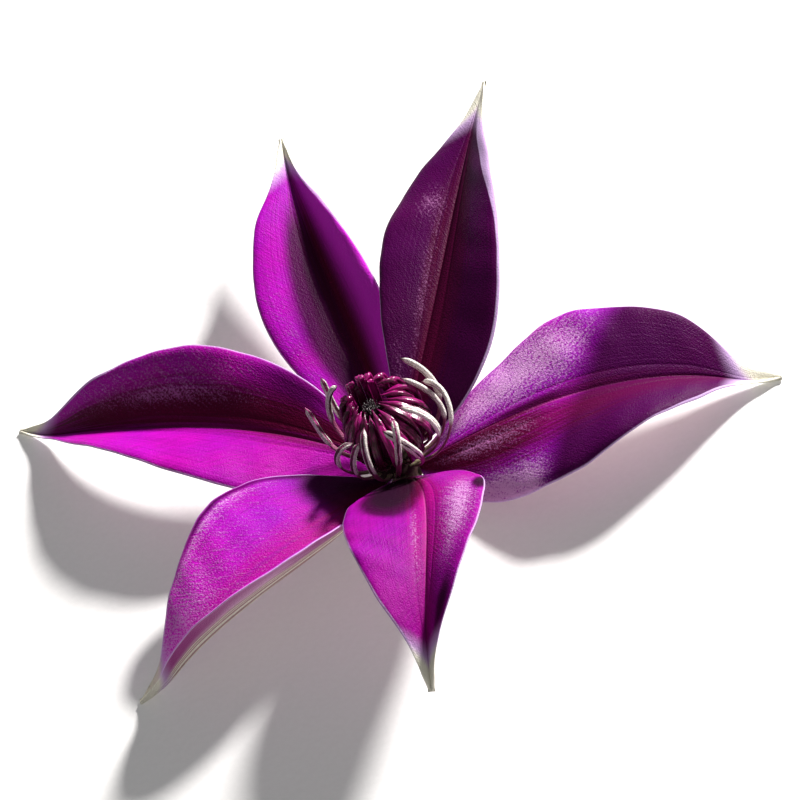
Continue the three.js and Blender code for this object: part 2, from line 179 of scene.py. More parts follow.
# Spans and amounts of painted light and shade: blush (on tepal 6 partly painted light), light shining
# through the right half, and patches of painted shade, which turn to near-black ink where deepest
BLUSH_SPAN = (0.3, 0.75)  # shares of the length between which the blush comes in
BACKLIGHT_SPAN = (0.15, 0.75)  # shares of the right half between which the glow does
PAINTED_SHADE_EDGE = (0.25, 0.85)  # amounts between which a patch turns dark
DARKEST_PAINTED_SHADE = 0.95
INK_FROM, INK_MOST = 1.05, 0.85  # a dark patch turns to ink from here on, and by so much at most

# Where the stamens and the pistils lean together
APEX = np.array((-0.5, 2.4, 16.4))

# Stamens: half the width and half the depth of a filament, and half the width of an anther. For each kind
# of anther: the share of the length where it begins, half its depth, where its blunt end begins, depth of
# its groove, sides and steps of its mesh, roughness, and relief of its grains
STAMEN_RISE = 3  # how far over its collar a stamen goes before it bends
FILAMENT = (0.55, 0.24)
ANTHER_WIDTH = 0.85
OPENED_ANTHER = dict(
    pollen=True, joint=0.46, depth=0.60, blunt=0.90, groove=0.30, sides=20, steps=44,
    roughness=0.55, grain=0.8,
)
CLOSED_ANTHER = dict(
    pollen=False, joint=0.34, depth=0.62, blunt=0.80, groove=0.38, sides=16, steps=40,
    roughness=0.24, grain=0.08,
)
GROOVE_WIDTH = 0.10  # spread of the groove round an anther
END_SHRINK = 0.86  # share of its width that an anther loses at its end
SLIMMER = dict(left=0.3, back=0.22)  # share of their width that the anthers on these sides lose

# Outer stamens, with opened anthers: direction of the root and of the tip in degrees, distance from the
# axis half way, height of the bend, and the tip's distance from the axis and height
OUTER_COLLAR = dict(low=1.7, high=2.7, root=4.3)
OPENED = (
    (6, 50, 14.5, 13.8, 13.1, 17.5),
    (-40, 32, 15.4, 19, 12.6, 12.5),
    (-17, 39, 13.2, 11.5, 9, 16.7),
    (-31, -20, 11.7, 15.6, 5, 16.8),
    (-51, -89, 11, 15.8, 5.5, 16.2),
    (-94, -62, 10.3, 18, 6, 18),
    (-111, -130, 10.3, 15.5, 4.7, 16.9),
    (-161, -148, 11.2, 17.2, 7.2, 14.2),
    (145, 117, 11.9, 16.8, 11.1, 16.7),
    (127, 121, 11.9, 12.3, 14.6, 17.9),
    (163, 141, 11.9, 9.4, 16.2, 14),
    (-140, -134, 10.4, 14, 7.4, 15.2),
)

# Inner stamens, still closed, in rings that bend in over the pistils: how many, direction of the first,
# reach, height of the bend, and the tips' distance and height from the apex
INNER_COLLAR = dict(low=3.2, high=4.2, root=2.8)
INNER_RINGS = (
    (20, 4, 8.7, 14.4, 2.8, -0.8),
    (15, 13, 7, 15, 2.1, -0.2),
    (14, 0, 5.9, 13.2, 2.4, -1.6),  # short ones that close the gaps
)
BULGE = 1.6  # how much further they reach on the right than in the middle
BACK = dict(radius=3.8, height=3.8, bend=3.4)  # those at the back stand taller and bend in less
UNEVEN = dict(turn=4, reach=0.3, height=0.8)
UNEVEN_SEED = 7
HOOK = dict(inwards=1.3, down=1.2, start=0.78)  # how far the tips at the back hook over, and from where

# Pistils: fine styles from the receptacle up to the apex. Radii of the tuft at its foot and at its top,
# heights where a style starts and bends, half its thickness at the foot, what it loses towards the tip, how
# uneven the tips are, how far they end above the apex, and the seed of their unevenness
STYLES = dict(
    count=90, steps=16, sides=6, foot=1.5, top=1.6, heights=(3.9, 8.5, 13.0),
    thick=0.22, loss=0.14, uneven=0.3, above=-0.4, seed=11,
)
GOLDEN_TURN = 2.39996  # radians from one style to the next

# Stalk and receptacle from the cut end up: distance from the axis, and height over the table
STALK_PROFILE = (
    (0, 0.8), (1.3, 0.8), (1.5, 0.95), (1.52, 1.8), (2.8, 2.2), (4.9, 2.5), (5.2, 2.65), (5.0, 2.8),
    (4.4, 3.0), (4.3, 3.3), (4.3, 5.9),
    (4.0, 6.3), (3.3, 6.4), (3.2, 7.8), (1.7, 7.9), (1.6, 8.5), (0, 8.6),
)
STALK_SIDES = 48
STALK_RIBS = dict(count=12, height=0.03, below=2.2)  # their height is a share of the radius

# Colours, as linear red, green and blue
VIOLET = (0.38, 0.004, 0.50)
MAGENTA = (0.50, 0.003, 0.41)
BAR = (0.43, 0.003, 0.18)
# NIGHT darkens the veins and, with RED_NIGHT, gives the depth's deeper tone and painted shade. THROAT is
# partly a darker throat, partly painted shade; INK is the deepest painted shade on the tepals and the
# styles' own black
NIGHT = (0.044, 0.001, 0.034)
RED_NIGHT = (0.085, 0.002, 0.026)
THROAT = (0.080, 0.001, 0.018)
BACKLIT_VIOLET = (0.90, 0.04, 0.90)
ROSE = (0.88, 0.016, 0.78)
VEIN = (0.75, 0.12, 0.45)
# Painted sheen, and the same dimmed where it lies in painted shade
SILVER = (0.80, 0.42, 0.82)
DIM_SILVER = (0.42, 0.13, 0.36)
LAVENDER = (0.70, 0.48, 0.84)
CREAM = (0.90, 0.87, 0.74)
TAN = (0.45, 0.28, 0.26)
UNDERSIDE = (0.78, 0.47, 0.70)
PLUM = (0.50, 0.16, 0.40)
UNDER_MARGIN = (0.30, 0.02, 0.20)
MAROON = (0.060, 0.001, 0.022)
WINE = (0.36, 0.006, 0.17)
FILAMENT_PINK = (0.28, 0.05, 0.14)
# FILAMENT_BASE: the filaments' cream foot, darkened as painted shade under the boss
FILAMENT_BASE = (0.32, 0.29, 0.17)
POLLEN = (0.93, 0.91, 0.88)
POLLEN_SHADE = (0.62, 0.56, 0.50)
INK = (0.012, 0.004, 0.010)
STYLE_PURPLE = (0.08, 0.02, 0.05)
STYLE_GLINT = (0.75, 0.72, 0.70)
STALK_GREEN = (0.16, 0.20, 0.05)
STALK_PALE = (0.34, 0.36, 0.12)
RECEPTACLE_SHADE = (0.045, 0.02, 0.02)
CUT_END = (0.55, 0.58, 0.30)
FLOOR_SHADES = ((0.80, 0.80, 0.80), (0.84, 0.84, 0.84))
WHITE = (1.0, 1.0, 1.0)

# Scales of the patterns: to the millimetre on tepals, but to a half's width and to the length for their
# long veins, to the length and once round for the streaks of stamens, and to the metre for the grains and
# the fibres
SIDE_VEIN_SLANT = math.radians(38)
SIDE_VEIN_SCALES = (2.2, 0.22)
LONG_VEIN_SCALES = (30.0, 3.0)
CLOUD_SCALE = 0.08
VELVET_SCALE = 3.0
FUR_SCALE = 2.2
CELL_SCALE = 3.4
RIB_SPACING = 0.09  # on the underside, as a share of a half's width
STAMEN_STREAK_SCALES = (14.0, 9.0)
GRAIN_SCALE = 4200.0
FIBRE_SCALE = 900.0

# Depths of the finest relief, in metres
VEIN_RELIEF = 0.00022
SKIN_RELIEF = 0.00011
STREAK_RELIEF = 0.0002
GRAIN_RELIEF = 0.00014
STALK_RELIEF = 0.0003

# The photograph's viewpoint: its angles, its distance in metres, and its aim in millimetres from the ring's
# centre. Then the glow all round, the floor, and a small soft lamp above and behind on the right
ELEVATION, TURN = math.radians(47), math.radians(21)
CAMERA_DISTANCE = 0.7
AIM_RIGHT, AIM_UP = 0.994, 12.92
SENSOR_WIDTH, LENS = 36, 158.4
WORLD_GLOW = 0.16
FLOOR_GLOW = 0.14
FLOOR_RADIUS, FLOOR_SIDES, FLOOR_HEIGHT = 4, 96, -0.0001
LAMP = dict(towards=(0.70, 0.50, 0.52), distance=1.2, size=0.18, power=36, colour=(1.0, 0.97, 0.94))


def through(values, s):
    """A value that goes from the first over the second to the third, as s goes from 0 to 1."""
    a, b, c = values
    return a * (1 - s) ** 2 + 2 * b * s * (1 - s) + c * s**2


def smoothstep(x, start, end):
    t = np.clip((x - start) / (end - start), 0, 1)
    return t * t * (3 - 2 * t)


def bump_at(x, centre, spread):
    return np.exp(-(((x - centre) / spread) ** 2))


def patched(patches, shares, s):
    """The sum of some patches, each with a middle and a spread across and along, [row, column]."""
    total = np.zeros((len(s), len(shares)))
    for place, width, along, length, amount in patches:
        total += amount * bump_at(shares, place, width) * bump_at(s, along, length)
    return total


def unit(vectors):
    return vectors / np.linalg.norm(vectors, axis=-1, keepdims=True)


def triples(shape, *values):
    """Three numbers for each point of a grid, in the order of its points."""
    return np.stack([np.broadcast_to(value, shape) for value in values], -1).reshape(-1, 3)


def make_piece(name, node, points, faces, attributes, material):
    """A smooth mesh from points in millimetres round the ring's centre, riding on the frame."""
    mesh = bpy.data.meshes.new(name)
    placed = np.asarray(points) * MM + np.array(RING_CENTRE)
    mesh.from_pydata(placed.tolist(), [], [list(f) for f in faces])
    for key, values in attributes.items():
        layer = mesh.attributes.new(key, "FLOAT_VECTOR", "POINT")
        layer.data.foreach_set("vector", np.asarray(values, np.float32).ravel())
    mesh.materials.append(material)
    mesh.polygons.foreach_set("use_smooth", np.ones(len(mesh.polygons), bool))
    mesh.update()
    piece = bpy.data.objects.new(name, mesh)
    bpy.context.scene.collection.objects.link(piece)
    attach(piece, "root")
    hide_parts(node)


class Paint:
    """A material and its nodes, each added in one line."""

    def __init__(self, name, **constants):
        self.material = bpy.data.materials.new(name)
        self.material.use_nodes = True
        self.tree = self.material.node_tree
        self.shader = self.tree.nodes["Principled BSDF"]
        for key, value in constants.items():
            self.shader.inputs[key.replace("_", " ")].default_value = value

    def add(self, kind, inputs, **settings):
        node = self.tree.nodes.new(kind)
        for key, value in settings.items():
            setattr(node, key, value)
        for key, value in inputs.items():
            self.put(node.inputs[key], value)
        return node

    def put(self, socket, value):
        if isinstance(value, bpy.types.NodeSocket):
            self.tree.links.new(value, socket)
        elif hasattr(value, "__len__") and len(value) == 3 and socket.type == "RGBA":
            socket.default_value = (*value, 1)
        else:
            socket.default_value = value

    def set(self, name, value):
        self.put(self.shader.inputs[name], value)

    def attribute(self, name):
        """The three numbers that each point of the mesh holds under this name."""
        source = self.add("ShaderNodeAttribute", {}, attribute_name=name)
        return self.add("ShaderNodeSeparateXYZ", {0: source.outputs["Vector"]}).outputs

    def position(self):
        return self.add("ShaderNodeTexCoord", {}).outputs["Object"]

    def math(self, operation, a, b=0.0):
        return self.add("ShaderNodeMath", {0: a, 1: b}, operation=operation).outputs[0]

    def plus(self, a, b):
        return self.math("ADD", a, b)

    def minus(self, a, b):
        return self.math("SUBTRACT", a, b)

    def times(self, a, b):
        return self.math("MULTIPLY", a, b)

    def within(self, value, start, end):
        """1 up to the start and 0 from the end on, the other way round from step."""
        return self.minus(1.0, self.step(value, start, end))

    def vector(self, x, y, z):
        return self.add("ShaderNodeCombineXYZ", {0: x, 1: y, 2: z}).outputs[0]

    def step(self, value, start, end):
        inputs = {"Value": value, "From Min": start, "From Max": end}
        return self.add("ShaderNodeMapRange", inputs, interpolation_type="SMOOTHSTEP").outputs[0]

    def spread(self, value, start, end, to_start, to_end):
        inputs = {"Value": value, "From Min": start, "From Max": end, "To Min": to_start, "To Max": to_end}
        return self.add("ShaderNodeMapRange", inputs).outputs[0]

    def mix(self, share, a, b):
        node = self.add("ShaderNodeMix", {}, data_type="RGBA")
        self.put(node.inputs[0], share)
        self.put(node.inputs[6], a)
        self.put(node.inputs[7], b)
        return node.outputs[2]

    def coats(self, colour, *layers):
        """A colour under some coats, each with the share that it covers and its own colour."""
        for share, layer in layers:
            colour = self.mix(share, colour, layer)
        return colour

    def noise(self, vector, scale=1.0, detail=2.0, roughness=0.5):
        inputs = {"Vector": vector, "Scale": scale, "Detail": detail, "Roughness": roughness}
        return self.add("ShaderNodeTexNoise", inputs).outputs[0]

    def streaks(self, x, y, z, scales, detail):
        """Noise that is drawn out: it has a scale of its own along x and along y."""
        return self.noise(self.vector(self.times(x, scales[0]), self.times(y, scales[1]), z), detail=detail)

    def cells(self, vector, scale):
        inputs = {"Vector": vector, "Scale": scale}
        return self.add("ShaderNodeTexVoronoi", inputs, feature="F1").outputs["Distance"]

    def relief(self, heights, distance, strength, under=None):
        inputs = {"Height": heights, "Distance": distance, "Strength": strength}
        node = self.add("ShaderNodeBump", inputs)
        if under is not None:
            self.put(node.inputs["Normal"], under)
        return node.outputs[0]


def tepal_paint():
    """Velvet: a blade from violet to magenta, redder along its three veins, and a paler underside, with
    painted shade, sheen, light shining through and highlight.
    """
    paint = Paint("tepal_velvet", Roughness=0.40, Specular_IOR_Level=0.045)
    share, reach, under = paint.attribute("blade")
    across, along, tepal = paint.attribute("grain")
    tone, awn, lip = paint.attribute("tone")
    depth, throat, bar_place = paint.attribute("tone_and_shade")
    sheen_amount, blush_and_light, painted_backlight = paint.attribute("sheen")
    side = paint.math("ABSOLUTE", share)

    # Side veins run forwards and outwards from the midrib
    outwards = paint.math("ABSOLUTE", across)
    cosine, sine = math.cos(SIDE_VEIN_SLANT), math.sin(SIDE_VEIN_SLANT)
    forwards = paint.plus(paint.times(along, cosine), paint.times(outwards, sine))
    sideways = paint.minus(paint.times(outwards, cosine), paint.times(along, sine))
    side_veins = paint.streaks(sideways, forwards, tepal, SIDE_VEIN_SCALES, detail=4.0)
    long_veins = paint.streaks(share, reach, tepal, LONG_VEIN_SCALES, detail=4.0)
    place = paint.vector(across, along, tepal)
    clouds = paint.noise(place, CLOUD_SCALE, detail=3.0)
    velvet = paint.noise(place, VELVET_SCALE, detail=3.0, roughness=0.7)
    fur = paint.noise(place, FUR_SCALE, detail=4.0, roughness=0.8)
    cells = paint.cells(place, CELL_SCALE)

    # The red bar along the veins, and the dark throat that runs up it from the claw: partly a darker
    # throat, partly painted shade near the stamens and in the folds
    ragged = paint.spread(long_veins, 0.3, 0.7, -0.12, 0.12)
    near_bar = paint.plus(paint.math("ABSOLUTE", paint.minus(share, bar_place)), ragged)
    bar = paint.times(paint.within(near_bar, 0.02, 0.46), paint.spread(reach, 0.1, 1.0, 0.9, 0.3))
    past_throat = paint.minus(paint.plus(reach, ragged), throat)
    throat_and_shade = paint.times(paint.within(past_throat, -0.25, 0.12), paint.within(near_bar, 0.12, 0.50))

    # Painted sheen in tufts of the velvet, dimmer where the blade is dark or shaded
    sheen_tufts = paint.plus(paint.plus(fur, paint.times(side_veins, 0.35)), paint.times(sheen_amount, 0.38))
    sheen_tufts = paint.times(paint.step(sheen_tufts, 0.77, 0.97), paint.spread(sheen_amount, 0.02, 0.6, 0.05, 0.95))
    dim = paint.times(paint.math("MAXIMUM", depth, throat_and_shade), 0.9)

    hue = paint.plus(tone, paint.spread(clouds, 0.3, 0.7, -0.45, 0.45))
    upper = paint.coats(
        paint.mix(hue, VIOLET, MAGENTA),
        # Blush of rose towards the tip, on tepal 6 partly painted light
        (paint.times(blush_and_light, 0.8), ROSE),
        (bar, BAR),
        (paint.spread(side_veins, 0.38, 0.66, 0.0, 0.24), NIGHT),
        (paint.spread(long_veins, 0.45, 0.7, 0.0, 0.25), NIGHT),
        (paint.times(paint.within(side, 0.004, 0.022), 0.45), VEIN),
        (paint.times(paint.step(velvet, 0.55, 0.75), 0.2), ROSE),
        # Painted light and shade: the throat's shade, light shining through the right half, the depth
        # (deeper tone and painted shade) with ink where deepest, and sheen in the tufts
        (paint.times(throat_and_shade, 0.96), THROAT),
        (paint.times(painted_backlight, 0.85), BACKLIT_VIOLET),
        (depth, paint.mix(bar, NIGHT, RED_NIGHT)),
        (paint.minus(depth, 1.0), INK),
        (sheen_tufts, paint.mix(dim, SILVER, DIM_SILVER)),
    )

    # Underneath: cream ribs in the middle, then lilac, and magenta towards the margin and the claw
    strand = paint.plus(side, paint.times(ragged, 0.1))
    rib_lines = paint.step(paint.math("COSINE", paint.times(strand, 2 * math.pi / RIB_SPACING)), -0.3, 0.8)
    uneven_side = paint.plus(side, paint.times(ragged, 0.4))
    near_margin = paint.step(paint.plus(uneven_side, paint.spread(reach, 0.45, 0.8, 0.0, 0.35)), 0.5, 0.92)
    lower = paint.coats(
        UNDERSIDE,
        (paint.spread(long_veins, 0.4, 0.65, 0.0, 0.5), PLUM),
        (paint.times(near_margin, paint.spread(reach, 0.4, 0.75, 0.35, 0.9)), UNDER_MARGIN),
        (paint.times(paint.within(paint.plus(reach, ragged), 0.36, 0.54), 0.8), UNDER_MARGIN),
        (paint.times(paint.within(uneven_side, 0.34, 0.50), 0.9), paint.mix(rib_lines, TAN, CREAM)),
    )

    # Pale margins, broader on the right where one turns outwards and there partly a painted highlight of
    # the turned rim, and a pale awn
    margin = paint.step(paint.minus(side, 0.972), 0.0, 0.025)
    right_lip = paint.step(paint.plus(paint.times(share, -1.0), paint.minus(lip, 1.0)), 0.0, 0.02)
    towards_tip = paint.plus(paint.minus(reach, awn), paint.times(side, 0.05))
    body = paint.coats(
        paint.mix(paint.step(under, 0.3, 0.7), upper, lower),
        (paint.times(paint.math("MAXIMUM", margin, right_lip), 0.75), LAVENDER),
        (paint.times(paint.step(towards_tip, -0.06, 0.02), 0.85), LAVENDER),
        (paint.step(towards_tip, -0.01, 0.04), CREAM),
    )
    paint.set("Base Color", body)

    waves = paint.relief(side_veins, VEIN_RELIEF, 0.4)
    lines = paint.relief(long_veins, VEIN_RELIEF, 0.4, waves)
    paint.set("Normal", paint.relief(paint.plus(cells, velvet), SKIN_RELIEF, 0.6, lines))
    return paint.material


def columns():
    """Shares of a half's width, closer together at the veins and at the margin."""
    near_veins = [vein + shift for vein in VEINS for shift in COLUMNS_AT_VEIN]
    even = np.linspace(0, 1, EVEN_COLUMNS)
    apart = [x for x in even if min(abs(x - n) for n in near_veins) > COLUMN_GAP or x in (0, 1)]
    return np.array(sorted({round(x, 4) for x in (*apart, *near_veins, *COLUMNS_AT_MARGIN) if x >= 0}))


def outline(width, belly, tepal, s):
    """Half the width of a tepal on one side, from claw to tip."""
    fullness = np.sin(np.pi * np.clip(s**belly, 0, 1)) ** FULLNESS
    drawn_in = 1 - tepal["taper"] * smoothstep(s, *DRAWN_IN)
    point = AWN * s**4 * (1 - AWN_LOSS * smoothstep(s, *AWN_END))
    return width * fullness * drawn_in + tepal["claw"] * (1 - s) ** 4 + point


def midrib(tepal):
    """Points of the midrib, and at each the directions across the tepal and up out of it."""
    s = np.linspace(0, 1, ROWS + 1)
    heading = np.radians(through(tepal["heading"], s))
    rise = np.radians(through(tepal["rise"], s) + tepal["flick"] * smoothstep(s, *FLICK))
    along = np.stack((np.cos(rise) * np.cos(heading), np.cos(rise) * np.sin(heading), np.sin(rise)), -1)
    steps = (along[1:] + along[:-1]) * 0.5 * tepal["length"] / ROWS
    start = np.array((RING * math.cos(heading[0]), RING * math.sin(heading[0]), tepal["lift"]))
    points = start + np.vstack((np.zeros(3), np.cumsum(steps, 0)))
    level = np.stack((-np.sin(heading), np.cos(heading), np.zeros_like(s)), -1)
    roll = np.radians(through(tepal["roll"], s))[:, None]
    across = level * np.cos(roll) + np.cross(along, level) * np.sin(roll)
    return s[:, None], points, across, unit(np.cross(along, across))


def relief(s, v, side, seed):
    """Height of the upper face's fine relief: grooves on the veins and shallow puckers between them."""
    rng = np.random.default_rng(seed)
    fade = np.sin(np.pi * np.clip(s, 0.02, 0.98)) ** 0.5
    grooves = -sum(depth * bump_at(v, vein, GROOVE_SPREAD) for depth, vein in zip(GROOVES, VEINS))
    panels = PANEL["height"] * bump_at(v, VEINS[1] / 2, PANEL["spread"])
    puckers = 0
    for _ in range(PUCKERS["count"]):
        turns, lean = rng.uniform(*PUCKERS["turns"]), rng.uniform(*PUCKERS["lean"])
        start = rng.uniform(0, 2 * np.pi)
        phase = 2 * np.pi * turns * s + lean * 2 * v + side * start
        puckers = puckers + PUCKERS["height"] * np.sin(phase)
    return fade * (grooves + panels + puckers * smoothstep(v, 0.2, 0.5))


def tepal_faces(tepal, seed):
    """Points of the upper and of the lower face, [row, column]. With them come the rows' shares of the
    length, the columns' signed shares of a half's width, and how far each point lies across."""
    s, points, across, up = midrib(tepal)
    v = columns()
    middle = (v[1:] + v[:-1]) / 2
    crook = smoothstep(s, *CROOK)
    arch = np.sin(np.pi * s)
    wave_height, wave_start = tepal["wave"]
    turn = 2 * np.pi * WAVES * s + math.radians(wave_start)
    no_reach = np.zeros((ROWS + 1, 1))
    halves = []
    for side, (half_width, belly, folds, curl) in ((-1, tepal["right"]), (1, tepal["left"])):
        width = outline(half_width, belly, tepal, s)
        margin_curl = MARGIN_CURL * smoothstep(middle, 0.88, 1) * arch**0.5
        slope = np.radians(through(folds, s)) - np.radians(curl * middle**2 + margin_curl) * crook
        reach = width * (v[1:] - v[:-1])
        out = np.hstack((no_reach, np.cumsum(side * np.cos(slope) * reach, 1)))
        rise = np.hstack((no_reach, np.cumsum(np.sin(slope) * reach, 1)))
        wave = wave_height * arch * side * np.sin(turn) * v**3
        fine_turn = FINE_WAVES["times"] * turn + 2 * side
        fine = FINE_WAVES["height"] * (arch * np.sin(fine_turn)) * v**6
        rise = rise + wave + fine + relief(s, v[None, :], side, seed)
        grid = points[:, None] + across[:, None] * out[..., None] + up[:, None] * rise[..., None]
        halves.append((grid, side * v, side * width * v))
    (right, share_r, reach_r), (left, share_l, reach_l) = halves
    upper = np.concatenate((right[:, :0:-1], left), 1)
    share = np.concatenate((share_r[:0:-1], share_l))
    reach = np.concatenate((reach_r[:, :0:-1], reach_l), 1)
    normal = unit(np.cross(np.gradient(upper, axis=0), np.gradient(upper, axis=1)))
    v = np.abs(share)[None, :]
    rib = sum(height * bump_at(v, vein, spread) for (height, spread), vein in zip(RIBS, VEINS))
    rib = rib * (1 - RIB_LOSS * s) * smoothstep(s, 0, 0.08)
    thick = THICKNESS + (MARGIN_THICKNESS - THICKNESS) * smoothstep(v, 0.3, 1)
    thick = thick + (TIP_THICKNESS - thick) * smoothstep(s, 0.93, 0.98)
    lower = upper - normal * (thick + rib)[..., None]
    if tepal["rests"]:
        drop = (lower[..., 2].min() - (TABLE - PRESSED)) * s**3
        for face in (upper, lower):
            face[..., 2] = np.maximum(face[..., 2] - drop, TABLE)
    return upper, lower, s, share, reach


def tube_faces(rows, count):
    """Faces of a closed tube. Its rings run along the upper face, a rim, back below and the other rim."""
    around = 2 * count + 2
    faces = []
    for i in range(rows - 1):
        for j in range(around):
            k = (j + 1) % around
            a, b = i * around, (i + 1) * around
            faces.append((a + j, b + j, b + k, a + k))
    for first, turn in ((0, 1), ((rows - 1) * around, -1)):
        below_first = first + around - 2
        for j in range(count - 1):
            faces.append((first + j, first + j + 1, below_first - j - 1, below_first - j)[::turn])
        faces.append((first, below_first, below_first + 1)[::-turn])
        faces.append((first + count - 1, first + count, first + count + 1)[::turn])
    return faces


def build_tepal(index, name, tepal, material):
    upper, lower, s, share, reach = tepal_faces(tepal, index)
    rows, count = upper.shape[:2]
    outwards = unit(np.gradient(upper, axis=1))
    rims = []
    for column, side in ((0, -1), (count - 1, 1)):
        thick = np.linalg.norm(upper[:, column] - lower[:, column], axis=1)[:, None]
        rim = (upper[:, column] + lower[:, column]) / 2 + side * outwards[:, column] * thick * RIM
        rims.append(rim[:, None])
    ring = np.concatenate((upper, rims[1], lower[:, ::-1], rims[0]), 1)
    if tepal["rests"]:
        ring[..., 2] = np.maximum(ring[..., 2], TABLE)
    shares = np.concatenate((share, [1.0], share[::-1], [-1.0]))
    under = np.concatenate((np.zeros(count), [0.5], np.ones(count), [0.5]))
    flat = np.concatenate((reach, reach[:, -1:], reach[:, ::-1], reach[:, :1]), 1)
    # The right margin's pale lip, partly a painted highlight where the turned rim caught the light, most on
    # tepal 3
    lip = tepal["lip"] * (1 + LIP["growth"] * smoothstep(s, *LIP["span"]) ** LIP["power"])
    # Painted shade: the depth turns the colour towards near-black violet; on tepals 3 and 4 it stands for a
    # cast shadow, whose edge on tepal 4 is the dusk's border
    near, far = tepal["depth"]
    border, slant, blend = tepal["dusk"]
    outer = smoothstep(s - border - slant * shares, -blend, blend)
    depth = near + (far - near) * outer
    # Patches of painted shade add to the depth, and past about 1 they turn to near-black ink
    patches = patched(tepal["painted_shade"], shares, s)
    painted_shade = DARKEST_PAINTED_SHADE * smoothstep(patches, *PAINTED_SHADE_EDGE)
    depth = depth + (1 - depth) * painted_shade + np.clip(patches - INK_FROM, 0, INK_MOST)
    # Painted sheen, faint where the colour is deep or shaded
    painted_sheen = patched(tepal["painted_sheen"], shares, s) * (1 - max(0, far - near) * outer) * (1 - painted_shade)
    # Blush towards the tip, on tepal 6 partly painted light on its turned-down outer part
    blush_and_light = tepal["blush_and_light"] * smoothstep(s, *BLUSH_SPAN)
    # Painted light shining through the right half
    painted_backlight = tepal["painted_backlight"] * smoothstep(-shares, *BACKLIGHT_SPAN)
    shape = ring.shape[:2]
    attributes = dict(
        blade=triples(shape, shares, s, under),
        grain=triples(shape, flat, s * tepal["length"], 10.0 * index),
        tone=triples(shape, tepal["tone"], tepal["awn"], lip),
        tone_and_shade=triples(shape, depth, tepal["throat"], tepal["bar"]),
        sheen=triples(shape, painted_sheen, blush_and_light, painted_backlight),
    )
    points, faces = ring.reshape(-1, 3), tube_faces(rows, count)
    make_piece(name + "_blade", name, points, faces, attributes, material)


def uneven_numbers(seed):
    """The uneven numbers, from -1 to 1, that placed the solids' inner stamens."""
    word = 0xFFFFFFFF
    state = seed
    while True:
        state = (state + 0x6D2B79F5) & word
        mixed = ((state ^ (state >> 15)) * (1 | state)) & word
        mixed = ((mixed + (((mixed ^ (mixed >> 7)) * (61 | mixed)) & word)) & word) ^ mixed
        yield ((mixed ^ (mixed >> 14)) & word) / 2**31 - 1


def polar(angle, radius, height):
    return np.array((radius * math.cos(angle), radius * math.sin(angle), height))


def bezier(corners, steps):
    a, b, c, d = corners
    t = np.linspace(0, 1, steps)[:, None]
    return a * (1 - t) ** 3 + 3 * b * t * (1 - t) ** 2 + 3 * c * t**2 * (1 - t) + d * t**3


def stamen_corners(collar, direction, reach, bend, turn, tip):
    """The curve of a stamen from its root on a collar, out to its reach and back to its tip."""
    pull = (8 * reach - collar["root"] - math.hypot(tip[0], tip[1])) / 6
    return (
        polar(direction, collar["root"], (collar["low"] + collar["high"]) / 2),
        polar(direction, pull, collar["high"] + STAMEN_RISE),
        polar(direction + turn / 2, pull, bend),
        np.array(tip),
    )


class Strands:
    """Many rods along curves, gathered in one mesh."""

    def __init__(self):
        self.points, self.faces, self.strand = [], [], []

    def add(self, path, direction, section, code):
        """A rod along a path. section(t) gives its ring at the share t of the path, as offsets across and
        out in millimetres, and the code is a number that all of its points hold."""
        steps, sides = len(path), len(section(0.0))
        tangents = unit(np.gradient(path, axis=0))
        across = np.array((-math.sin(direction), math.cos(direction), 0.0))
        first = sum(len(p) for p in self.points)
        for i, (point, along) in enumerate(zip(path, tangents)):
            t = i / (steps - 1)
            across = across - along * across.dot(along)
            across = across / np.linalg.norm(across)
            out = np.cross(across, along)
            offsets = section(t)
            self.points.append(point + offsets[:, :1] * across + offsets[:, 1:] * out)
            self.strand.append(triples((sides,), t, np.arange(sides) / sides, code))
            if i:
                a = first + (i - 1) * sides
                for k in range(sides):
                    n = (k + 1) % sides
                    self.faces.append((a + k, a + n, a + n + sides, a + k + sides))
        self.faces.append(tuple(first + k for k in range(sides))[::-1])
        last = first + (steps - 1) * sides
        self.faces.append(tuple(last + k for k in range(sides)))

    def make(self, name, node, material):
        attributes = {"strand": np.vstack(self.strand)}
        make_piece(name, node, np.vstack(self.points), self.faces, attributes, material)


def stamen_section(kind, wide):
    """A flat filament that swells to an anther with a groove on both faces and a blunt end."""
    turn = 2 * np.pi * (np.arange(kind["sides"]) + 0.5) / kind["sides"]
    groove = kind["groove"] * bump_at(np.abs(np.sin(turn)), 1, GROOVE_WIDTH)

    def section(t):
        swell = smoothstep(t, kind["joint"] - 0.04, kind["joint"] + 0.06)
        end = smoothstep(t, kind["blunt"], 1.0)
        half_width = FILAMENT[0] + (ANTHER_WIDTH * wide - FILAMENT[0]) * swell
        half_depth = FILAMENT[1] + (kind["depth"] - FILAMENT[1]) * swell
        shrink = 1 - END_SHRINK * end**2
        furrow = 1 - groove * swell * (1 - end)
        return np.stack((half_width * np.cos(turn), half_depth * np.sin(turn) * furrow), -1) * shrink

    return section


def outer_stamens(material):
    strands = Strands()
    for root, towards, reach, bend, tip_radius, tip_height in OPENED:
        direction = math.radians(root)
        leftness = (1 - math.cos(direction)) / 2
        turn = math.radians(towards) - direction
        tip = polar(math.radians(towards), tip_radius, tip_height)
        corners = stamen_corners(OUTER_COLLAR, direction, reach, bend, turn, tip)
        path = bezier(corners, OPENED_ANTHER["steps"])
        section = stamen_section(OPENED_ANTHER, 1 - SLIMMER["left"] * leftness)
        strands.add(path, direction, section, leftness)
    strands.make("outer_stamens", "stamens_outer", material)


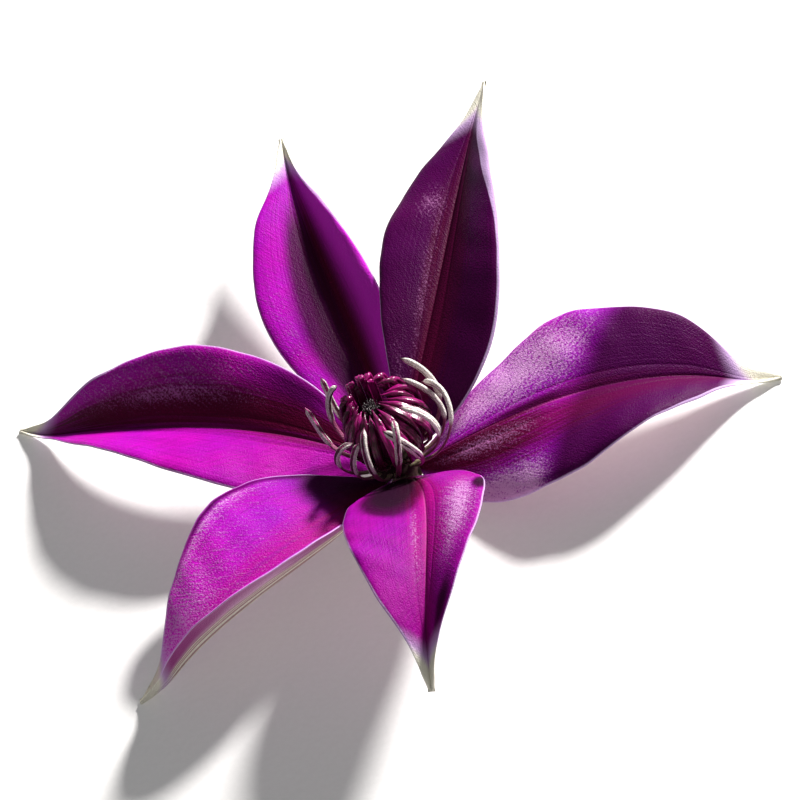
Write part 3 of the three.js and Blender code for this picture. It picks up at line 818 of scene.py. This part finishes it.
def inner_stamens(material):
    strands = Strands()
    uneven = uneven_numbers(UNEVEN_SEED)
    t = np.linspace(0, 1, CLOSED_ANTHER["steps"])[:, None]
    number = 0
    for count, start, reach, bend, tip_radius, tip_height in INNER_RINGS:
        for i in range(count):
            direction = math.radians(start + 360 * i / count + UNEVEN["turn"] * next(uneven))
            this_reach = reach + BULGE * math.cos(direction) + UNEVEN["reach"] * next(uneven)
            back = max(0, math.sin(direction))
            height = tip_height + BACK["height"] * back + UNEVEN["height"] * next(uneven)
            tip = APEX + polar(direction, tip_radius + BACK["radius"] * back, height)
            this_bend = bend + BACK["bend"] * back
            corners = stamen_corners(INNER_COLLAR, direction, this_reach, this_bend, 0, tip)
            hook = polar(direction, -HOOK["inwards"], -HOOK["down"])
            path = bezier(corners, CLOSED_ANTHER["steps"]) + back * smoothstep(t, HOOK["start"], 1.0) * hook
            section = stamen_section(CLOSED_ANTHER, 1 - SLIMMER["back"] * back)
            strands.add(path, direction, section, number)
            number += 1
    strands.make("inner_stamens", "stamens_inner", material)


def pistils(material):
    strands = Strands()
    rng = np.random.default_rng(STYLES["seed"])
    count, sides = STYLES["count"], STYLES["sides"]
    foot, bend, neck = STYLES["heights"]
    turn = 2 * np.pi * np.arange(sides) / sides
    circle = np.stack((np.cos(turn), np.sin(turn)), -1)
    for number in range(count):
        direction = number * GOLDEN_TURN
        from_middle = math.sqrt((number + 0.5) / count)
        base = polar(direction, STYLES["foot"] * from_middle, foot)
        spread = polar(direction, STYLES["top"] * from_middle, 0)
        tip = APEX + spread + rng.normal(0, STYLES["uneven"], 3) + np.array((0, 0, STYLES["above"]))
        corners = (base, (0.9 * base[0], 0.9 * base[1], bend), (tip[0], tip[1], neck), tip)
        path = bezier([np.array(corner) for corner in corners], STYLES["steps"])
        strands.add(path, direction, lambda t: circle * (STYLES["thick"] - STYLES["loss"] * t), number)
    strands.make("styles", "pistils", material)


def stalk(material):
    """The receptacle with its two shoulders, on the cut end of the flower stalk."""
    points, strand, faces = [], [], []
    for i, (radius, height) in enumerate(STALK_PROFILE):
        ribs = STALK_RIBS["height"] * (height < STALK_RIBS["below"])
        for k in range(STALK_SIDES):
            angle = 2 * np.pi * k / STALK_SIDES
            ribbed = radius * (1 + ribs * math.cos(STALK_RIBS["count"] * angle))
            points.append(polar(angle, ribbed, height + TABLE))
            strand.append((height, k / STALK_SIDES, 0))
            if i:
                a, b = (i - 1) * STALK_SIDES + k, (i - 1) * STALK_SIDES + (k + 1) % STALK_SIDES
                faces.append((a, b, b + STALK_SIDES, a + STALK_SIDES))
    make_piece("stalk", "receptacle", points, faces, {"strand": strand}, material)


def stamen_paint(name, kind):
    """Filaments from cream to pink, and anthers of wine red, darker at their foot with painted shade, with
    white pollen on the opened ones.
    """
    paint = Paint(name, Roughness=kind["roughness"], Specular_IOR_Level=0.5)
    reach, around, code = paint.attribute("strand")
    number = paint.times(code, 53.0) if kind["pollen"] else code
    fine = paint.streaks(reach, around, number, STAMEN_STREAK_SCALES, detail=3.0)
    grains = paint.cells(paint.position(), GRAIN_SCALE)
    each = paint.noise(paint.vector(paint.times(number, 3.7), 0.0, 0.0), detail=0.0)
    filament = paint.mix(paint.step(reach, 0.03, 0.24), FILAMENT_BASE, FILAMENT_PINK)
    tone_and_shade = paint.plus(fine, paint.spread(each, 0.3, 0.7, -0.25, 0.25))
    # Painted shade: each anther darker towards its foot, where the boss lies in shade
    tone_and_shade = paint.minus(tone_and_shade, paint.spread(reach, 0.35, 0.8, 0.3, 0.0))
    anther = paint.mix(paint.step(tone_and_shade, 0.3, 0.7), MAROON, WINE)
    if kind["pollen"]:
        # Dust covers the edges and leaves the seams bare, more so on the left, and the very ends
        edges = paint.math("ABSOLUTE", paint.math("COSINE", paint.times(around, 2 * math.pi)))
        dust = paint.plus(edges, paint.spread(fine, 0.3, 0.7, -0.14, 0.14))
        bare = paint.minus(dust, paint.spread(code, 0.0, 1.0, 0.0, 0.5))
        ends = paint.within(paint.plus(reach, paint.times(fine, 0.06)), 0.985, 1.02)
        pollen = paint.mix(paint.step(grains, 0.25, 0.75), POLLEN, POLLEN_SHADE)
        anther = paint.mix(paint.times(paint.step(bare, 0.02, 0.14), ends), anther, pollen)
    joint = kind["joint"]
    paint.set("Base Color", paint.mix(paint.step(reach, joint - 0.02, joint + 0.04), filament, anther))
    lines = paint.relief(fine, STREAK_RELIEF, 0.5)
    paint.set("Normal", paint.relief(grains, GRAIN_RELIEF, kind["grain"], lines))
    return paint.material


def pistil_paint():
    """Nearly black silk with painted glints at some tips."""
    paint = Paint("style_silk", Roughness=0.3)
    reach, around, number = paint.attribute("strand")
    fine = paint.noise(paint.vector(paint.times(reach, 20.0), number, around), detail=2.0)
    colour = paint.mix(paint.step(fine, 0.4, 0.7), INK, STYLE_PURPLE)
    # Painted highlights: pale glints at some tips
    painted_glints = paint.times(paint.step(reach, 0.9, 1.0), paint.step(fine, 0.5, 0.65))
    paint.set("Base Color", paint.mix(painted_glints, colour, STYLE_GLINT))
    paint.set("Normal", paint.relief(fine, STREAK_RELIEF, 0.5))
    return paint.material


def stalk_paint():
    """A green ribbed stalk, pale at its cut end, under a receptacle darkened with painted shade. Heights
    are over the table.
    """
    paint = Paint("stalk_green", Roughness=0.7, Specular_IOR_Level=0.15)
    height, around, _ = paint.attribute("strand")
    ribs = paint.noise(paint.vector(paint.times(around, 30.0), height, 0.0), detail=3.0)
    colour = paint.coats(
        STALK_GREEN,
        (paint.step(ribs, 0.3, 0.7), STALK_PALE),
        # Painted shade: the receptacle dark above the stalk, where tepals and stamens shade it
        (paint.step(height, 2.4, 3.0), RECEPTACLE_SHADE),
        (paint.step(height, 1.2, 0.8), CUT_END),
    )
    paint.set("Base Color", colour)
    paint.set("Normal", paint.relief(ribs, STALK_RELIEF, 0.6))
    return paint.material


def add_camera():
    """The photograph's viewpoint: 47 degrees above the table and turned 21 degrees."""
    level = Vector((1, 0, 0))
    upright = Vector((0, math.sin(ELEVATION), math.cos(ELEVATION)))
    back = Vector((0, -math.cos(ELEVATION), math.sin(ELEVATION)))
    right = math.cos(TURN) * level - math.sin(TURN) * upright
    up = math.sin(TURN) * level + math.cos(TURN) * upright
    place = RING_CENTRE + back * CAMERA_DISTANCE
    aim = RING_CENTRE + right * AIM_RIGHT * MM + up * AIM_UP * MM
    away = (place - aim).normalized()
    side = up.cross(away).normalized()
    turned = Matrix((side, away.cross(side), away)).transposed().to_4x4()
    camera = bpy.data.objects.new("camera", bpy.data.cameras.new("camera"))
    camera.data.sensor_width = SENSOR_WIDTH
    camera.data.lens = LENS
    camera.matrix_world = Matrix.Translation(place) @ turned
    bpy.context.scene.collection.objects.link(camera)
    bpy.context.scene.camera = camera


def add_lamp(name, towards, distance, size, power, colour):
    light = bpy.data.lights.new(name, "AREA")
    light.shape = "DISK"
    light.size = size
    light.energy = power
    light.color = colour
    lamp = bpy.data.objects.new(name, light)
    direction = Vector(towards).normalized()
    lamp.location = RING_CENTRE + direction * distance
    lamp.rotation_mode = "QUATERNION"
    lamp.rotation_quaternion = direction.to_track_quat("Z", "Y")
    bpy.context.scene.collection.objects.link(lamp)


def add_studio():
    """A plain pale floor, one soft lamp, and an even glow all round."""
    world = bpy.data.worlds.new("studio")
    world.use_nodes = True
    background = world.node_tree.nodes["Background"]
    background.inputs["Color"].default_value = (*WHITE, 1)
    background.inputs["Strength"].default_value = WORLD_GLOW
    bpy.context.scene.world = world
    add_lamp("key", **LAMP)
    bpy.ops.mesh.primitive_circle_add(
        vertices=FLOOR_SIDES, radius=FLOOR_RADIUS, fill_type="NGON", location=(0, 0, FLOOR_HEIGHT)
    )
    floor = bpy.context.object
    floor.name = "floor"
    paint = Paint("floor_paper", Roughness=0.9)
    fibres = paint.noise(paint.position(), FIBRE_SCALE, detail=4.0)
    paint.set("Base Color", paint.mix(paint.spread(fibres, 0.3, 0.7, 0, 1), *FLOOR_SHADES))
    paint.set("Emission Color", WHITE)
    paint.set("Emission Strength", FLOOR_GLOW)
    floor.data.materials.append(paint.material)


bpy.context.scene.view_settings.view_transform = "Standard"
add_camera()
add_studio()
velvet = tepal_paint()
for index, (name, tepal) in enumerate(TEPALS.items(), 1):
    build_tepal(index, name, tepal, velvet)
outer_stamens(stamen_paint("opened_anthers", OPENED_ANTHER))
inner_stamens(stamen_paint("closed_anthers", CLOSED_ANTHER))
pistils(pistil_paint())
stalk(stalk_paint())
